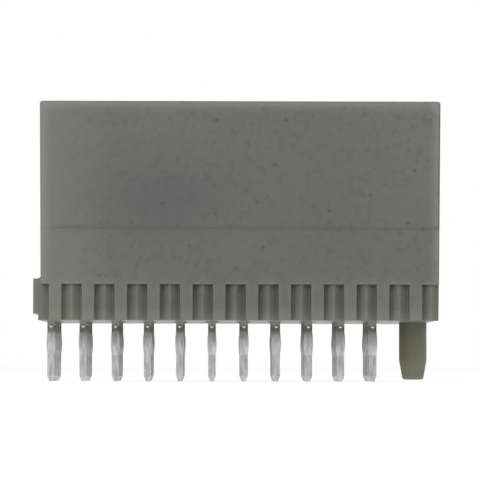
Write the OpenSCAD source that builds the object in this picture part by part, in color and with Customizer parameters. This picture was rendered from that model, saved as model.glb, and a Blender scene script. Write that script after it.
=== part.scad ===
// Straight shrouded board header: a moulded housing with an open mating cavity and press-fit contacts.
// The frame stands on the tips of the contact tails, with Z up and X along the contact columns.

/* [Contact grid] */
// Spacing of the contacts along the columns and the rows
pitch = 2; // [1.8:0.05:2.6]
// Number of contact columns along the housing
columns = 11; // [5:1:11]
// Number of contact rows across the housing
rows = 5; // [3:1:5]

/* [Housing] */
// Length beyond the contact grid that holds the guide block
guide_len = 3; // [2.8:0.05:6]
// Gap left at each end so that headers can stand end to end
end_gap = 0.05; // [0.02:0.01:0.2]
// Distance from the outer contact row to the inner face of the long wall
row_margin = 2.8; // [2:0.05:5]
// Thickness of the long walls
wall_t = 1.5; // [1.2:0.05:2.5]
// Height of the long walls above the underside of the housing
wall_h = 13.4; // [12:0.05:18]
// Height of the floor above the underside of the housing
floor_h = 2.55; // [2.3:0.05:4]
// How far the long walls stop short of the open end
wall_setback = 0.4; // [0.3:0.05:0.6]
// Draft angle of the wall ends, in degrees
end_draft = 0.48; // [0:0.02:1]
// How far the floor and the guide block stop short of the wall ends
block_setback = 0.1; // [0.05:0.05:0.2]
// Rounding of the outer edges along the top of the walls
edge_r = 0.2; // [0.1:0.05:0.5]
// Rounding of the upright outer edges at the wall ends
end_r = 0.15; // [0.05:0.01:0.16]
// Lead-in chamfer along the inner top edge of the walls
lead_in = 0.6; // [0.2:0.05:0.8]
// Height of the moulding witness step on the outer face
witness_h = 5.65; // [4:0.05:9]
// Depth of the moulding witness step
witness_d = 0.04; // [0.02:0.01:0.08]

/* [Open end tab] */
// Distance of the tab from the outer face of the wall
tab_setback = 0.8; // [0.7:0.05:1]
// Height of the undercut below the tab
tab_step_h = 0.4; // [0.3:0.05:1]
// Depth of the undercut below the tab, and length of the tab's thinner tongue
tab_step_d = 0.32; // [0.1:0.02:0.36]
// How much thinner the tongue is on each side
tongue_inset = 0.15; // [0.05:0.01:0.3]
// Radius of the fillet between the tab and the wall end
tab_fillet = 0.25; // [0.15:0.05:0.35]

/* [Wall notches] */
// Width of each notch along the foot of the outer walls
notch_w = 1.28; // [0.9:0.01:1.4]
// Height of the notches
notch_h = 2.2; // [1.5:0.05:2.3]
// Depth of the notches
notch_d = 0.45; // [0.4:0.05:0.65]
// How much a notch narrows on each side from the face to its full depth
notch_flare = 0.12; // [0.02:0.01:0.15]
// Distance from a contact column back to the centre of its notch
notch_offset = 0.555; // [0.4:0.005:0.7]
// Depth of the crest of the ridge that stands in each notch
ridge_drop = 0.17; // [0.1:0.01:0.25]
// Rounding of the ridge's crest
ridge_r = 0.18; // [0.1:0.01:0.24]

/* [Guide slot] */
// Width of the guide slot across the housing
slot_w = 5; // [3:0.1:8]
// Depth of the guide slot into the block
slot_d = 1.7; // [1:0.05:1.9]
// Lead-in chamfer at the mouth of the guide slot
slot_lead = 0.5; // [0.2:0.05:0.6]

/* [Locating peg] */
// Diameter of the locating peg
peg_d = 1.75; // [1.4:0.05:2]
// Length of the locating peg below the housing
peg_len = 3.63; // [3:0.01:3.7]
// Length of the straight part of the peg
peg_straight = 2.4; // [1.2:0.05:2.6]
// Diameter at the end of the peg
peg_tip_d = 1.38; // [0.9:0.02:1.4]
// Rounding at the end of the peg
peg_tip_r = 0.2; // [0.05:0.01:0.3]
// Distance from the guide end to the axis of the peg
peg_edge = 1.2; // [1.1:0.05:1.8]

/* [Contacts] */
// Width of the square mating pin
pin_w = 0.5; // [0.4:0.02:0.6]
// Height of the mating pin's tip above the underside of the housing
pin_h = 8.6; // [6:0.1:9]
// Length of the tapered point of the mating pin
point_len = 0.9; // [0.4:0.05:1.5]
// Width at the end of the mating pin's point
point_w = 0.2; // [0.1:0.02:0.3]
// Clearance on each side between a contact and its hole in the floor
hole_clear = 0.01; // [0.005:0.005:0.03]
// Width of the shallow pocket around each contact on the underside
pocket_w = 0.8; // [0.7:0.05:1]
// Depth of the pocket around each contact
pocket_d = 0.1; // [0.05:0.01:0.3]
// Length of the tail below the underside of the housing
tail_len = 3.75; // [3.75:0.05:5]
// Width of the tail seen from the long side
tail_w = 0.46; // [0.36:0.02:0.48]
// Thickness of the tail across the housing
tail_t = 0.4; // [0.36:0.02:0.44]
// Length of the tapered tip of the tail
tip_len = 0.33; // [0.15:0.01:0.6]
// Width at the end of the tail's tip
tip_w = 0.2; // [0.1:0.02:0.3]
// Width of the neck under the housing
neck_w = 0.48; // [0.42:0.01:0.5]
// Thickness of the neck across the housing
neck_t = 0.3; // [0.24:0.02:0.34]
// Distance from the underside of the housing to the end of the thin neck
neck_len = 0.5; // [0.4:0.05:0.6]
// Length of the slope from the neck to the full thickness of the tail
shoulder_len = 0.25; // [0.1:0.05:0.4]
// Distance from the underside of the housing to the middle of the coined bumps
bump_drop = 0.33; // [0.25:0.01:0.4]
// Radius of the ball whose caps make the coined bumps on the neck
bump_r = 0.19; // [0.17:0.01:0.2]
// Distance from the underside of the housing to the top of the press-fit zone
press_drop = 0.6; // [0.5:0.05:1]
// Length of the press-fit zone
press_len = 1.5; // [1.2:0.05:1.8]
// Width of the press-fit zone seen from the long side
press_w = 0.57; // [0.5:0.01:0.62]
// Thickness across the two press-fit beams
press_t = 0.5; // [0.46:0.02:0.6]
// Length of the needle eye between the beams
eye_len = 0.9; // [0.5:0.05:1]
// Width of the needle eye
eye_w = 0.18; // [0.12:0.02:0.24]

/* [Hidden] */
$fn = 64;
// Extra length that carries a cut past the face it opens, or a piece into the one it joins
over = 1;
// Slope run of the witness step
witness_run = witness_d;
// Length of the header without the end gaps
housing_len = columns * pitch + guide_len - 2 * end_gap;
// Half of the space between the inner wall faces
cavity_half = (rows - 1) * pitch / 2 + row_margin;
// Half of the overall depth across both walls
depth_half = cavity_half + wall_t;
open_end = -housing_len / 2;
guide_end = housing_len / 2;
// Horizontal run of the end draft over the full wall height
draft_run = wall_h * tan(end_draft);
// Wall ends at the foot of the wall, each wider at the top by the draft
wall_foot_a = open_end + wall_setback + draft_run;
wall_foot_b = guide_end - draft_run;
// Where the guide block starts, half a pitch past the last column
guide_start = open_end - end_gap + columns * pitch;
// End of the floor and the guide block between the wall ends
block_end = wall_foot_b - block_setback;
// Top of the guide block, at the lower edge of the wall's lead-in chamfer
guide_top = wall_h - lead_in;
// Notches repeat along the whole wall at the contact pitch
notch_count = ceil(housing_len / pitch);
// Character code of the letter that names the first contact row
first_row_letter = 97;
// Middle of the press-fit zone above the tail tips
press_mid = tail_len - press_drop - press_len / 2;

// Middle of a contact column
function column_x(c) = open_end - end_gap + (c + 1 / 2) * pitch;
function row_y(r) = (r - (rows - 1) / 2) * pitch;
// Radius of an arc with this chord and this rise
function arc_r(chord, rise) = (chord * chord / 4 + rise * rise) / (2 * rise);
// Closed outline from one half, given as half widths and heights from the bottom up
function both_sides(half) =
    concat(half, [for (i = [len(half) - 1:-1:0]) [-half[i][0], half[i][1]]]);

function contact_name(r, c) = str("contact_", chr(first_row_letter + r), c + 1);

// Extrusions of a flat drawing along X and along Y, with the drawing's height along Z
module along_x(len) rotate([90, 0, 90]) linear_extrude(len, center = true) children();
module along_y(len) rotate([90, 0, 0]) linear_extrude(len, center = true) children();

// Flat lens of this width between two arcs of this radius, standing upright
module lens(r, w) intersection() {
    translate([r - w / 2, 0]) circle(r);
    translate([w / 2 - r, 0]) circle(r);
}

// Flat outline of the press-fit zone, which swells from the bare width to the full one
module press_outline(bare, full) translate([0, press_mid]) lens(arc_r(press_len, (full - bare) / 2), full);

// Flat waste outside a quarter round at the corner of two edges that meet at the origin
module corner_waste(r) difference() {
    translate([-over, -over]) square(r + over);
    translate([r, r]) circle(r);
}

// Section of a long wall, measured inwards from its outer face
module wall_section() difference() {
    polygon([
        [witness_d, 0], [wall_t, 0], [wall_t, wall_h - lead_in], [wall_t - lead_in, wall_h],
        [0, wall_h], [0, witness_h], [witness_d, witness_h - witness_run]
    ]);
    translate([0, wall_h]) mirror([0, 1]) corner_waste(edge_r);
}

// Long side of a wall with drafted ends and rounded top corners
module wall_outline() {
    // Distance from the top corner to the centre of its rounding
    inset = edge_r * tan(end_draft) + edge_r / cos(end_draft);
    a = open_end + wall_setback + inset;
    b = guide_end - inset;
    side_x = edge_r * cos(end_draft);
    side_z = wall_h - edge_r - edge_r * sin(end_draft);
    polygon([
        [wall_foot_a, 0], [wall_foot_b, 0], [b + side_x, side_z], [b, wall_h],
        [a, wall_h], [a - side_x, side_z]
    ]);
    for (x = [a, b]) translate([x, wall_h - edge_r]) circle(edge_r);
}

// Plan of the gabled ridge in a notch, measured inwards from the outer face
module ridge_plan() {
    centre_y = ridge_drop + ridge_r;
    // Foot of the gable, where it meets the flared side of the notch
    foot = [notch_w / 2 - notch_flare, notch_d - centre_y];
    turn = atan2(foot.y, foot.x) - acos(ridge_r / norm(foot));
    // Point where the gable leaves the rounded crest, and the slope carried on past the foot
    touch = ridge_r * [cos(turn), sin(turn)];
    far = 2 * foot - touch;
    translate([0, centre_y]) {
        circle(ridge_r);
        polygon([
            [-touch.x, touch.y], touch, far, [far.x, far.y + over], [-far.x, far.y + over], [-far.x, far.y]
        ]);
    }
}

// One notch at the foot of the outer face, with its ridge left standing
module notch_cut() {
    // Half width of the flared cut where it starts, in front of the face
    mouth = notch_w / 2 + notch_flare * over / notch_d;
    bottom = notch_w / 2 - notch_flare;
    translate([0, 0, -over]) linear_extrude(over + notch_h) difference() {
        polygon([[-mouth, -over], [mouth, -over], [bottom, notch_d], [-bottom, notch_d]]);
        ridge_plan();
    }
}

// The long wall with its outer face at y = 0 and the cavity on its +Y side
module long_wall() difference() {
    intersection() {
        along_x(2 * housing_len) wall_section();
        along_y(4 * wall_t) wall_outline();
    }
    for (i = [0:notch_count - 1]) translate([column_x(i) - notch_offset, 0, 0]) notch_cut();
    translate([wall_foot_a, 0, 0]) rotate([0, -end_draft, 0])
        translate([0, 0, -over]) linear_extrude(wall_h + 2 * over) corner_waste(end_r);
    translate([wall_foot_b, 0, 0]) rotate([0, end_draft, 0])
        translate([0, 0, -over]) linear_extrude(wall_h + 2 * over) mirror([1, 0]) corner_waste(end_r);
}

// The floor that carries the contacts, with a thinner tongue past the walls at the open end
module floor_plate() {
    body_half = depth_half - tab_setback;
    tongue_root = open_end + tab_step_d;
    translate([tongue_root, -body_half, 0]) cube([block_end - tongue_root, 2 * body_half, floor_h]);
    translate([open_end, tongue_inset - body_half, tab_step_h])
        cube([tab_step_d + over, 2 * (body_half - tongue_inset), floor_h - tab_step_h]);
}

// Fillet where the top of the tab meets the end of a long wall
module end_fillet() {
    // The fillet is as thin as the tongue, because its toe reaches onto it
    inset = tab_setback + tongue_inset;
    thick = wall_t - inset;
    // The fillet leans on the drafted wall end, so it reaches a little into it
    wall_x = wall_foot_a - floor_h * tan(end_draft);
    translate([wall_x, inset - depth_half + thick / 2, floor_h]) along_y(thick) {
        mirror([1, 0]) difference() {
            translate([-tab_fillet, 0]) square([2 * tab_fillet, tab_fillet]);
            translate([tab_fillet, tab_fillet]) circle(tab_fillet);
        }
    }
}

// Guide block that closes the cavity at one end, with a lead-in slot for the mating half
module guide_block() {
    block_d = block_end - guide_start;
    // The block reaches into each wall by half of its thickness
    block_w = 2 * cavity_half + wall_t;
    difference() {
        translate([guide_start, -block_w / 2, floor_h / 2])
            cube([block_d, block_w, guide_top - floor_h / 2]);
        intersection() {
            translate([guide_start, 0, 0]) along_y(2 * slot_w) polygon([
                [-over, floor_h], [slot_d, floor_h], [slot_d, guide_top - slot_lead],
                [slot_d + slot_lead + over, guide_top + over], [-over, guide_top + over]
            ]);
            translate([guide_start, 0, 0]) along_x(2 * block_d) polygon(both_sides([
                [slot_w / 2, floor_h], [slot_w / 2, guide_top - slot_lead],
                [slot_w / 2 + slot_lead + over, guide_top + over]
            ]));
        }
    }
}

// Locating peg: a straight shank, a taper and a rounded end
module locating_peg() translate([guide_end - peg_edge, 0, 0]) rotate_extrude() {
    end_z = -peg_len;
    polygon([
        [0, floor_h / 2], [0, end_z], [peg_tip_d / 2 - peg_tip_r, end_z],
        [peg_tip_d / 2, end_z + peg_tip_r], [peg_d / 2, -peg_straight], [peg_d / 2, floor_h / 2]
    ]);
    intersection() {
        translate([peg_tip_d / 2 - peg_tip_r, end_z + peg_tip_r]) circle(peg_tip_r);
        translate([0, end_z]) square([peg_d, peg_tip_r]);
    }
}

// Holes for the contacts, each with a shallow pocket around it on the underside
module contact_holes() {
    side = pin_w + 2 * hole_clear;
    for (r = [0:rows - 1], c = [0:columns - 1]) translate([column_x(c), row_y(r), -over]) {
        translate([-side / 2, -side / 2, 0]) cube([side, side, floor_h + 2 * over]);
        translate([-pocket_w / 2, -pocket_w / 2, 0]) cube([pocket_w, pocket_w, over + pocket_d]);
    }
}

// The one moulded piece: floor, walls, guide block and peg
module housing() color("#6b7069") translate([0, 0, tail_len]) difference() {
    union() {
        floor_plate();
        guide_block();
        locating_peg();
        for (side = [0, 1]) mirror([0, side, 0]) {
            translate([0, -depth_half, 0]) long_wall();
            end_fillet();
        }
    }
    contact_holes();
}

// Contact seen from the long side of the housing
module contact_front() {
    polygon(both_sides([
        [tip_w / 2, 0], [tail_w / 2, tip_len], [tail_w / 2, press_mid], [neck_w / 2, press_mid],
        [neck_w / 2, tail_len], [pin_w / 2, tail_len], [pin_w / 2, tail_len + pin_h - point_len],
        [point_w / 2, tail_len + pin_h]
    ]));
    press_outline(tail_w, press_w);
}

// Contact seen from the end of the housing, with its thin neck and needle eye
module contact_side() difference() {
    union() {
        polygon(both_sides([
            [tip_w / 2, 0], [tail_t / 2, tip_len], [tail_t / 2, tail_len - neck_len - shoulder_len],
            [neck_t / 2, tail_len - neck_len], [neck_t / 2, tail_len], [pin_w / 2, tail_len],
            [pin_w / 2, tail_len + pin_h - point_len], [point_w / 2, tail_len + pin_h]
        ]));
        press_outline(tail_t, press_t);
    }
    translate([0, press_mid]) lens(arc_r(eye_len, eye_w / 2), eye_w);
}

// Press-fit contact: the shape that both views share, with a coined bump on each side of the neck
module contact(r, c) color("#b7bab8") translate([column_x(c), row_y(r), 0]) {
    intersection() {
        along_y(2 * press_t) contact_front();
        along_x(2 * press_w) contact_side();
    }
    translate([0, 0, tail_len - bump_drop]) sphere(bump_r);
}

housing();
for (r = [0:rows - 1], c = [0:columns - 1])
    contact(r, c);
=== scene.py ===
# %% [markdown]
# # A shrouded board header, dressed for its portrait
# The object is a straight press-fit header: one moulded housing and a grid of metal contacts.
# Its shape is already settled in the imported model, so this lesson adds what a mould and a plating
# bath add to the real part: broken edges, a matte resin skin, tin on the tails and gold on the pins.
# Everything is in metres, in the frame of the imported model: Z up, X along the columns. Lengths of
# the part are written in millimetres, and MM turns them to metres.

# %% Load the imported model
import math

import bpy
from mathutils import Matrix, Vector


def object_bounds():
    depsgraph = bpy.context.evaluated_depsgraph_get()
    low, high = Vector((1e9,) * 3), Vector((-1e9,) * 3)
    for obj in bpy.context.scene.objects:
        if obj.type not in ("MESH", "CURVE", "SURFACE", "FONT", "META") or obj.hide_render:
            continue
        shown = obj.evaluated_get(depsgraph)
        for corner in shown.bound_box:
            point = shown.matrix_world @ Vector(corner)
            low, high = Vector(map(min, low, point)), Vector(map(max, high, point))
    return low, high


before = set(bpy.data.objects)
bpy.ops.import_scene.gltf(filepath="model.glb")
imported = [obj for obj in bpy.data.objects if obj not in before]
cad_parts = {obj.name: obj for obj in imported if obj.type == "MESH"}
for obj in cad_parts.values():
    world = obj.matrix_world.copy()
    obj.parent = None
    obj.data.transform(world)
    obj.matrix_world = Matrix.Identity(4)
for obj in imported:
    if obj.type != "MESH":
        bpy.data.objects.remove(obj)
cad_low, cad_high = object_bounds()
MM = 0.001
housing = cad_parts["housing"]
contacts = [part for name, part in sorted(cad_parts.items()) if name.startswith("contact_")]
print("housing faces:", len(housing.data.polygons), "contacts:", len(contacts))

# %% [markdown]
# ## The camera
# The photograph looks square at the long outer wall from about 195 mm away, with the eye just above
# the tail tips. So the underside of the housing shows as a thin line, and the back rows of tails
# step inwards a little behind the front row. A long lens at that distance gives the same small
# steps. The camera is turned towards the picture's middle instead of shifting the lens, so it
# behaves the same way when other views move it.

# %% Place the camera
PICTURE_PX = 480
SENSOR_MM = 36.0
FOCAL_PX = 3200.0
EYE_DISTANCE = 195 * MM
EYE_X = -1.26 * MM
EYE_Z = 0.97 * MM
AIM_X = 0.20 * MM
AIM_Z = 8.645 * MM
ROLL = math.radians(0.12)


def look_from(eye, target, roll=0.0):
    """The matrix of a camera or light that looks from eye to target, turned about its own axis."""
    turn = (target - eye).to_track_quat("-Z", "Y").to_matrix().to_4x4()
    return Matrix.Translation(eye) @ turn @ Matrix.Rotation(roll, 4, "Z")


scene = bpy.context.scene
lens = bpy.data.cameras.new("portrait_lens")
lens.sensor_width = SENSOR_MM
lens.lens = FOCAL_PX / PICTURE_PX * SENSOR_MM
lens.clip_start = 1 * MM
camera = bpy.data.objects.new("portrait_camera", lens)
scene.collection.objects.link(camera)
wall_y = cad_low.y
camera.matrix_world = look_from(
    Vector((EYE_X, wall_y - EYE_DISTANCE, EYE_Z)), Vector((AIM_X, wall_y, AIM_Z)), ROLL
)
scene.camera = camera
print("focal length in mm:", round(lens.lens, 1))

# %% [markdown]
# ## Three small helpers
# Colours are easier to read as the hex values a painter would pick from a screen, but the shader
# works in linear light, so one function converts them. Another adds a shader node with its settings,
# and links it where an input is another node's output. The third empties a new node tree.


# %% Colour and node helpers
def linear(hex_colour):
    """An sRGB colour such as "6b7069" as linear RGBA."""
    shares = [int(hex_colour[i : i + 2], 16) / 255 for i in (0, 2, 4)]
    return [s / 12.92 if s <= 0.04045 else ((s + 0.055) / 1.055) ** 2.4 for s in shares] + [1.0]


def add(tree, kind, inputs=None, **settings):
    """Add a node to the tree; an input is a plain value or another node's output socket."""
    made = tree.nodes.new(kind)
    for name, value in settings.items():
        setattr(made, name, value)
    for name, value in (inputs or {}).items():
        if isinstance(value, bpy.types.NodeSocket):
            tree.links.new(value, made.inputs[name])
        else:
            made.inputs[name].default_value = value
    return made


def empty_tree(owner):
    """The node tree of a new material or world, with nothing in it."""
    owner.use_nodes = True
    owner.node_tree.nodes.clear()
    return owner.node_tree


print("resin grey in linear light:", [round(v, 3) for v in linear("6b7069")])

# %% [markdown]
# ## The light table
# Such parts are photographed on a lit white table, so hardly any shadow shows and everything behind
# the part is white. A glowing floor stands for the table. It is also the main fill light: it brightens
# the tails and the peg from below, and the smooth underside of the housing mirrors it.

# %% White table
FLOOR_SIZE = 4.0
scene.view_settings.view_transform = "Standard"
bpy.ops.mesh.primitive_plane_add(size=FLOOR_SIZE)
floor = bpy.context.object
floor.name = "light_table"
acrylic = bpy.data.materials.new("opal_acrylic_lit_from_below")
tree = empty_tree(acrylic)
glow = add(tree, "ShaderNodeEmission", {"Strength": 0.88})
sheet = add(tree, "ShaderNodeBsdfDiffuse", {"Color": linear("6b6b6b")})
both = add(tree, "ShaderNodeAddShader", {0: glow.outputs["Emission"], 1: sheet.outputs["BSDF"]})
add(tree, "ShaderNodeOutputMaterial", {"Surface": both.outputs["Shader"]})
floor.data.materials.append(acrylic)
print("stage:", floor.name)

# %% [markdown]
# ## The room
# The surroundings are brightest behind the part, above it and on its left, which puts thin bright
# lines on edges seen at a flat angle. They are dimmer on the camera's right, so the right flanks of
# the small ridges in the notches are darker than the left ones. The brightness depends on how well a
# direction agrees with one bright direction. The camera itself sees white all round.

# %% White surroundings
BRIGHT_SIDE = Vector((-0.75, 0.55, 0.4)).normalized()
DIMMEST, BRIGHTEST = 0.08, 0.85
room = bpy.data.worlds.new("white_surroundings")
scene.world = room
tree = empty_tree(room)
towards = add(tree, "ShaderNodeTexCoord")
agree = add(tree, "ShaderNodeVectorMath", {
    0: towards.outputs["Generated"], 1: BRIGHT_SIDE,
}, operation="DOT_PRODUCT")
level = add(tree, "ShaderNodeMapRange", {
    "Value": agree.outputs["Value"], "From Min": -0.7, "From Max": 0.5,
    "To Min": DIMMEST, "To Max": BRIGHTEST,
})
ray = add(tree, "ShaderNodeLightPath")
seen = add(tree, "ShaderNodeMix", {
    0: ray.outputs["Is Camera Ray"], "A": level.outputs["Result"], "B": 1.0,
})
sky = add(tree, "ShaderNodeBackground", {"Color": (1, 1, 1, 1), "Strength": seen.outputs["Result"]})
add(tree, "ShaderNodeOutputWorld", {"Surface": sky.outputs["Background"]})
print("world:", room.name)

# %% [markdown]
# ## Two soft panels
# The notches along the foot of the wall are darker under their tops and on their right flanks, so
# the main light stands in front, high above the camera, and the room is dim on the right. A weaker
# panel stands low on the left, behind the camera. It lights the left flanks and the tails.

# %% Key and fill panels
middle = (cad_low + cad_high) / 2


def add_panel(name, place, size, power):
    """A square panel of light that faces the middle of the part."""
    light = bpy.data.lights.new(name, "AREA")
    light.size = size
    light.energy = power
    panel = bpy.data.objects.new(name, light)
    scene.collection.objects.link(panel)
    panel.matrix_world = look_from(place, middle)
    return panel


key = add_panel("key_panel", Vector((0.02, -0.31, 0.29)), size=0.34, power=0.97)
fill = add_panel("fill_panel", Vector((-0.24, -0.36, 0.05)), size=0.30, power=0.45)
print("panels:", key.name, fill.name)

# %% [markdown]
# ## Moulded resin
# The housing is a glass-filled polyester, moulded to a greenish mid grey with a matte skin. The
# flowing melt leaves broad, faint clouds. They could be painted on a picture, but a noise in space
# that is stretched along the flow runs over the edges of the walls with no seam. The open end is
# painted paler: painted light, for the glow that the bright surroundings throw over that end.


# %% Clouds and the pale end
def per_mm(*sizes):
    """The scale of a pattern whose cells have these sizes in millimetres."""
    return tuple(1 / (size * MM) for size in sizes)


CLOUD_LONG, CLOUD_HIGH = 14.0, 9.0
CLOUD_SHIFT = 3.77  # in cloud lengths
OPEN_END, END_LIGHT_LONG = -12.1, 4.5
resin = bpy.data.materials.new("glass_filled_polyester_moulded")
tree = empty_tree(resin)
place = add(tree, "ShaderNodeTexCoord").outputs["Object"]
along = add(tree, "ShaderNodeSeparateXYZ", {"Vector": place})
melt = add(tree, "ShaderNodeMapping", {
    "Vector": place, "Scale": per_mm(CLOUD_LONG, CLOUD_HIGH, CLOUD_HIGH),
    "Location": (CLOUD_SHIFT, 0, 0),
})
clouds = add(tree, "ShaderNodeTexNoise", {"Vector": melt.outputs["Vector"], "Scale": 1.0, "Detail": 1.0})
billow = add(tree, "ShaderNodeMapRange", {
    "Value": clouds.outputs["Fac"], "From Min": 0.25, "From Max": 0.75,
})
# Painted light: the open end of the wall is painted paler, fading out over a few millimetres.
painted_end_light = add(tree, "ShaderNodeMapRange", {
    "Value": along.outputs["X"], "From Min": (OPEN_END + END_LIGHT_LONG) * MM, "From Max": OPEN_END * MM,
    "To Max": 0.5,
})
body = add(tree, "ShaderNodeMix", {
    0: billow.outputs["Result"], "A": linear("4a4f48"), "B": linear("5b6259"),
}, data_type="RGBA")
print("cloud nodes:", len(tree.nodes))

# %% [markdown]
# Fibres under the skin give it a fine, soft mottle. Fibre ends and burnt grains show as small dark
# specks. They are slices through balls of dark resin, so a cell pattern in space places them: where
# the surface cuts a ball near its middle the speck is large, and elsewhere it is small. The painted
# light at the open end is laid over them, so both are fainter there.

# %% Mottle and specks
MOTTLE = 0.42
SPECK_GAP, SPECK_R = 1.5, 0.14
mottle = add(tree, "ShaderNodeTexNoise", {"Vector": place, "Scale": per_mm(MOTTLE)[0], "Detail": 1.0})
smudge = add(tree, "ShaderNodeMapRange", {
    "Value": mottle.outputs["Fac"], "From Min": 0.5, "From Max": 0.75, "To Max": 0.38,
})
balls = add(tree, "ShaderNodeTexVoronoi", {"Vector": place, "Scale": per_mm(SPECK_GAP)[0]})
speck = add(tree, "ShaderNodeMapRange", {
    "Value": balls.outputs["Distance"], "From Min": 1.2 * SPECK_R / SPECK_GAP,
    "From Max": 0.6 * SPECK_R / SPECK_GAP, "To Max": 0.5,
})
# The last of these colours is the painted light at the open end.
for share, colour in ((smudge, "3f443d"), (speck, "2c302a"), (painted_end_light, "6f766c")):
    body = add(tree, "ShaderNodeMix", {
        0: share.outputs["Result"], "A": body.outputs["Result"], "B": linear(colour),
    }, data_type="RGBA")
print("colour nodes:", len(tree.nodes))

# %% [markdown]
# A mould can't make a knife edge, so a bevel in the shading rounds each edge by less than a tenth of
# a millimetre. The edges are also painted a little paler, a painted highlight for the pale rim that
# the bright surroundings put on them: they are where the rounded direction of the surface differs
# from the flat one.

# %% Rounded edges
EDGE_R = 0.09
round_off = add(tree, "ShaderNodeBevel", {"Radius": EDGE_R * MM}, samples=6)
flat = add(tree, "ShaderNodeNewGeometry")
facing = add(tree, "ShaderNodeVectorMath", {
    0: round_off.outputs["Normal"], 1: flat.outputs["Normal"],
}, operation="DOT_PRODUCT")
# Painted highlight: the more the rounded direction differs from the flat one, the paler the edge.
edge = add(tree, "ShaderNodeMapRange", {
    "Value": facing.outputs["Value"], "From Min": 0.98, "From Max": 0.8, "To Max": 0.5,
})
print("edge rounding in mm:", EDGE_R)

# %% [markdown]
# Light enters the resin and comes out again where little material lies behind the surface. True
# scattering would be slow and noisy. An occlusion node that looks inwards finds such places along
# the outer edges, and it counts for less at the foot, where the floor lies behind the wall. The peg
# and the lowest edge of the walls are thin enough for the table's light to shine through, which
# makes them yellower.

# %% Thin places
UNDERSIDE = 3.75
GLOW_DEPTH = 0.8
GLOW_LEAST, GLOW_MOST = UNDERSIDE + 1.5, UNDERSIDE + 4.5
THIN_FROM, THIN_FULL = UNDERSIDE + 1.0, UNDERSIDE - 1.2
lift = add(tree, "ShaderNodeMapRange", {
    "Value": along.outputs["Z"], "From Min": GLOW_LEAST * MM, "From Max": GLOW_MOST * MM,
    "To Min": 0.3, "To Max": 0.8,
})
inner = add(tree, "ShaderNodeAmbientOcclusion", {
    "Distance": GLOW_DEPTH * MM,
}, inside=True, only_local=True, samples=8)
glow = add(tree, "ShaderNodeMapRange", {
    "Value": inner.outputs["AO"], "From Min": 0.95, "From Max": 0.5, "To Max": lift.outputs["Result"],
})
thin = add(tree, "ShaderNodeMapRange", {
    "Value": along.outputs["Z"], "From Min": THIN_FROM * MM, "From Max": THIN_FULL * MM,
})
# These mixes paint light into the colour: light through the resin at edges and thin places, and the
# painted highlight on the rims.
for share, colour in ((glow, "777d73"), (thin, "73745e"), (edge, "767d72")):
    body = add(tree, "ShaderNodeMix", {
        0: share.outputs["Result"], "A": body.outputs["Result"], "B": linear(colour),
    }, data_type="RGBA")
print("glow depth in mm:", GLOW_DEPTH)

# %% [markdown]
# Two inserts of the mould meet along the outer walls. The imported model has the tiny step that they
# leave. Its shade is painted in as a soft dark line, a painted shadow under the step. The line is
# found from the distance to the step's height, only on the outermost faces, and it starts a little
# way in from the open end.

# %% Witness line
STEP_HIGH, STEP_SHADE_WIDE = 9.4, 0.3
STEP_SHADE_FROM, STEP_SHADE_FULL = OPEN_END + 0.6, OPEN_END + 1.4
OUTER_FROM, OUTER_FULL = 8.1, 8.2  # distances from the middle plane
from_step = add(tree, "ShaderNodeVectorMath", {
    0: place, 1: (0, 0, STEP_HIGH * MM),
}, operation="SUBTRACT")
away = add(tree, "ShaderNodeVectorMath", {0: from_step.outputs["Vector"]}, operation="ABSOLUTE")
away = add(tree, "ShaderNodeSeparateXYZ", {"Vector": away.outputs["Vector"]})
start = add(tree, "ShaderNodeMapRange", {
    "Value": along.outputs["X"], "From Min": STEP_SHADE_FROM * MM, "From Max": STEP_SHADE_FULL * MM,
    "To Max": 0.45,
})
near = add(tree, "ShaderNodeMapRange", {
    "Value": away.outputs["Z"], "From Min": STEP_SHADE_WIDE * MM, "From Max": 0.0,
    "To Max": start.outputs["Result"],
})
# Painted shadow along the step: darkest at the step's height, on the outer faces only.
painted_step_shade = add(tree, "ShaderNodeMapRange", {
    "Value": away.outputs["Y"], "From Min": OUTER_FROM * MM, "From Max": OUTER_FULL * MM,
    "To Max": near.outputs["Result"],
})
# The colour of the painted shadow under the step.
body = add(tree, "ShaderNodeMix", {
    0: painted_step_shade.outputs["Result"], "A": body.outputs["Result"], "B": linear("454a43"),
}, data_type="RGBA")
print("witness line at mm:", STEP_HIGH)

# %% [markdown]
# The skin's gloss isn't even. The clouds are a little duller than the rest, and the underside comes
# from a polished part of the mould, so at a flat angle it mirrors the white table. The grain of the
# real skin is finer than a pixel. It is drawn about two pixels of the portrait wide, so that it shows.

# %% Housing gloss and grain
SKIN_GRAIN, GRAIN_DEEP = 0.11, 0.012
grain = add(tree, "ShaderNodeTexNoise", {"Vector": place, "Scale": per_mm(SKIN_GRAIN)[0], "Detail": 2.0})
duller_clouds_and_neck_shade = add(tree, "ShaderNodeMapRange", {
    "Value": clouds.outputs["Fac"], "From Min": 0.3, "From Max": 0.7, "To Min": 0.5, "To Max": 0.62,
})
side = add(tree, "ShaderNodeSeparateXYZ", {"Vector": flat.outputs["Normal"]})
below = add(tree, "ShaderNodeMapRange", {"Value": side.outputs["Z"], "From Min": -0.8, "From Max": -0.95})
gloss = add(tree, "ShaderNodeMix", {0: below.outputs["Result"], "A": duller_clouds_and_neck_shade.outputs["Result"], "B": 0.34})
skin = add(tree, "ShaderNodeBump", {
    "Height": grain.outputs["Fac"], "Strength": 0.3, "Distance": GRAIN_DEEP * MM,
    "Normal": round_off.outputs["Normal"],
})
shader = add(tree, "ShaderNodeBsdfPrincipled", {
    "Base Color": body.outputs["Result"], "Roughness": gloss.outputs["Result"], "IOR": 1.55,
    "Normal": skin.outputs["Normal"],
})
add(tree, "ShaderNodeOutputMaterial", {"Surface": shader.outputs["BSDF"]})
housing.data.materials[0] = resin
print("housing wears", resin.name)

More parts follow.
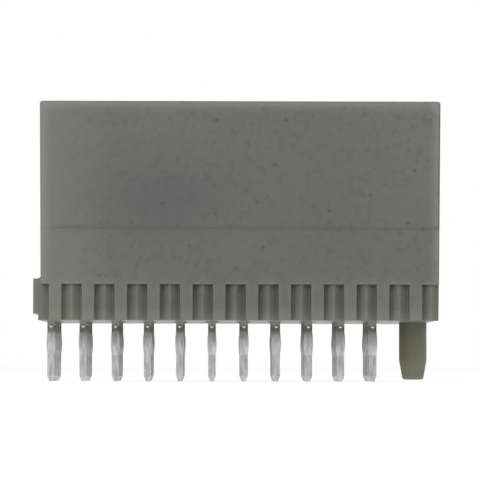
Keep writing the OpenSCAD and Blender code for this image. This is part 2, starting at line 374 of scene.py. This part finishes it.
# %% [markdown]
# ## Plated contacts
# Each contact is stamped from bronze strip. The tail that goes into the board is tinned, a satin
# grey with drawing lines along its length and a mottled bloom. The pin that meets the other half is
# gilded, and the step from tin to gold is hidden in the housing floor. Both platings lie on one
# strip, so one material changes from the first to the second by height.

# %% Contact platings
FLOOR_TOP = 6.3
GOLD_FROM, GOLD_FULL = FLOOR_TOP - 0.5, FLOOR_TOP - 0.3
BLOOM_LONG, BLOOM_WIDE = 0.8, 0.2
plating = bpy.data.materials.new("tin_and_gold_plated_bronze_stamped")
tree = empty_tree(plating)
coords = add(tree, "ShaderNodeTexCoord")
place = coords.outputs["Object"]
height = add(tree, "ShaderNodeSeparateXYZ", {"Vector": place})
gilded = add(tree, "ShaderNodeMapRange", {
    "Value": height.outputs["Z"], "From Min": GOLD_FROM * MM, "From Max": GOLD_FULL * MM,
})
smear = add(tree, "ShaderNodeMapping", {
    "Vector": place, "Scale": per_mm(BLOOM_WIDE, BLOOM_WIDE, BLOOM_LONG),
})
stains = add(tree, "ShaderNodeTexNoise", {"Vector": smear.outputs["Vector"], "Scale": 1.0, "Detail": 2.0})
bloom = add(tree, "ShaderNodeMapRange", {
    "Value": stains.outputs["Fac"], "From Min": 0.3, "From Max": 0.7,
})
metal = add(tree, "ShaderNodeMix", {
    0: bloom.outputs["Result"], "A": linear("a8aba6"), "B": linear("d4d7d4"),
}, data_type="RGBA")
metal = add(tree, "ShaderNodeMix", {
    0: gilded.outputs["Result"], "A": metal.outputs["Result"], "B": linear("e0b967"),
}, data_type="RGBA")
print("contact colour nodes:", len(tree.nodes))

# %% [markdown]
# Right under the housing the press coins each contact to a thinner neck with a small round bump on
# its faces. The neck is painted darker, with a ragged lower end: painted shade where the housing
# overhangs it and darkens what it mirrors. The bump is painted lighter, a painted highlight. The
# bump is found in each contact's own box, which runs from 0 to 1 along each axis and is scaled to
# millimetres here, so one mask serves all the contacts.

# %% Neck and bump
NECK_END = 3.05
NECK_FROM, NECK_FULL = NECK_END + 0.15, NECK_END + 0.35
RAGGED = 0.5  # the stains raise each height by about half of this
BUMP_HIGH, BUMP_R, BUMP_SOFT = 3.42, 0.11, 0.03
box = contacts[0].dimensions / MM
ragged = add(tree, "ShaderNodeMath", {
    0: stains.outputs["Fac"], 1: RAGGED * MM, 2: height.outputs["Z"],
}, operation="MULTIPLY_ADD")
# Painted shade: the neck under the housing is darker, with a ragged lower end.
painted_neck_shade = add(tree, "ShaderNodeMapRange", {
    "Value": ragged.outputs["Value"], "From Min": NECK_FROM * MM, "From Max": NECK_FULL * MM,
})
bump = add(tree, "ShaderNodeMapping", {
    "Vector": coords.outputs["Generated"], "Scale": (box.x, 0, box.z),
    "Location": (-box.x / 2, 0, -BUMP_HIGH),
})
reach = add(tree, "ShaderNodeVectorMath", {0: bump.outputs["Vector"]}, operation="LENGTH")
# Painted highlight on the round bump.
painted_bump_highlight = add(tree, "ShaderNodeMapRange", {
    "Value": reach.outputs["Value"], "From Min": BUMP_R + BUMP_SOFT, "From Max": BUMP_R - BUMP_SOFT,
})
# The neck's colour is painted shade, and the bump's is a painted highlight.
duller_clouds_and_neck_shade = add(tree, "ShaderNodeMix", {
    0: painted_bump_highlight.outputs["Result"], "A": linear("94958d"), "B": linear("cfd1cc"),
}, data_type="RGBA")
neck_shade_share = add(tree, "ShaderNodeMath", {
    0: painted_neck_shade.outputs["Result"], 1: gilded.outputs["Result"],
}, operation="SUBTRACT")
metal = add(tree, "ShaderNodeMix", {
    0: neck_shade_share.outputs["Value"], "A": metal.outputs["Result"], "B": duller_clouds_and_neck_shade.outputs["Result"],
}, data_type="RGBA")
print("contact box in mm:", [round(v, 2) for v in box])

# %% [markdown]
# The strip was drawn through rollers before it was stamped. The rollers left fine lines along each
# contact, which catch the light as a slightly uneven satin. Real ones are finer. They are drawn
# about a pixel of the portrait wide, so that they show.

# %% Contact gloss and drawing lines
LINE_LONG, LINE_WIDE, LINE_DEEP = 1.2, 0.06, 0.008
STAMPED_EDGE_R = 0.04
drawn = add(tree, "ShaderNodeMapping", {
    "Vector": place, "Scale": per_mm(LINE_WIDE, LINE_WIDE, LINE_LONG),
})
lines = add(tree, "ShaderNodeTexNoise", {"Vector": drawn.outputs["Vector"], "Scale": 1.0, "Detail": 2.0})
satin = add(tree, "ShaderNodeMapRange", {
    "Value": lines.outputs["Fac"], "From Min": 0.3, "From Max": 0.7, "To Min": 0.28, "To Max": 0.46,
})
round_off = add(tree, "ShaderNodeBevel", {"Radius": STAMPED_EDGE_R * MM}, samples=6)
scored = add(tree, "ShaderNodeBump", {
    "Height": lines.outputs["Fac"], "Strength": 0.3, "Distance": LINE_DEEP * MM,
    "Normal": round_off.outputs["Normal"],
})
shader = add(tree, "ShaderNodeBsdfPrincipled", {
    "Base Color": metal.outputs["Result"], "Metallic": 1.0, "Roughness": satin.outputs["Result"],
    "Normal": scored.outputs["Normal"],
})
add(tree, "ShaderNodeOutputMaterial", {"Surface": shader.outputs["BSDF"]})
for part in contacts:
    part.data.materials[0] = plating
print("contacts wear", plating.name)
